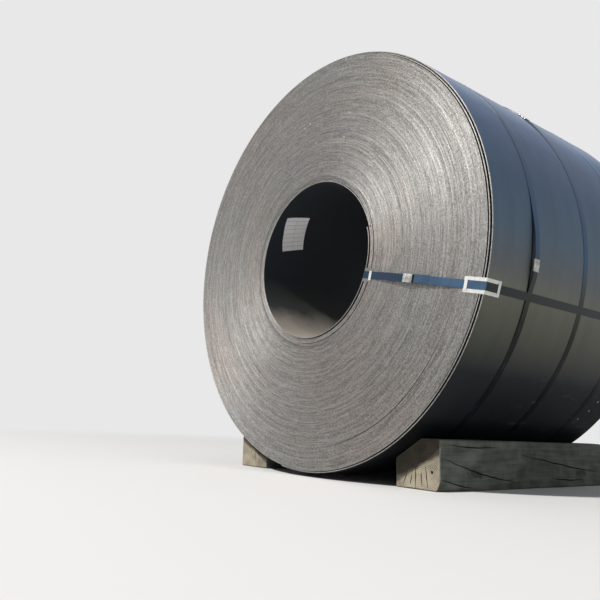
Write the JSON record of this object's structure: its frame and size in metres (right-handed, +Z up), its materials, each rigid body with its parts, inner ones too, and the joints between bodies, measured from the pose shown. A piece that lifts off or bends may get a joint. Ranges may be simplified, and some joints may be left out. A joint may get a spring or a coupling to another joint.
{
  "type": "steel coil",
  "caption": "Strapped coil of hot rolled steel strip lying on two bevelled timbers, with its eye level.",
  "frame": {"origin": "on the floor, at the middle of the load's footprint, under the coil's axis", "axes": "+Y along the coil's axis, from the end with the seal on its eye strap to the other, +Z up, +X to the right as seen from the front"},
  "size_m": [2.0062, 1.3843, 2.0211],
  "materials": {
    "mill_scale_steel": "hot rolled, blue-grey mill scale on the surface and bare rolled edges on the ends",
    "blued_strapping": "cold rolled steel strapping, heat blued and waxed",
    "zinc_plated_seal": "folded and crimped, zinc plated",
    "galvanised_sheet": "galvanised sheet, bent",
    "label_paper": "matt printed paper",
    "weathered_timber": "sawn, weathered and checked"
  },
  "bodies": {
    "root": {"coil": "mill_scale_steel", "girth_strap_1": "blued_strapping", "girth_strap_2": "blued_strapping", "girth_strap_3": "blued_strapping", "girth_seal_1": "zinc_plated_seal", "girth_seal_2": "zinc_plated_seal", "girth_seal_3": "zinc_plated_seal", "eye_strap": "blued_strapping", "eye_strap_seal": "zinc_plated_seal", "front_rim_plate": "galvanised_sheet", "front_eye_plate": "galvanised_sheet", "rear_rim_plate": "galvanised_sheet", "rear_eye_plate": "galvanised_sheet", "bore_label": "label_paper", "timber_right": "weathered_timber", "timber_left": "weathered_timber"}
  },
  "joints": []
}
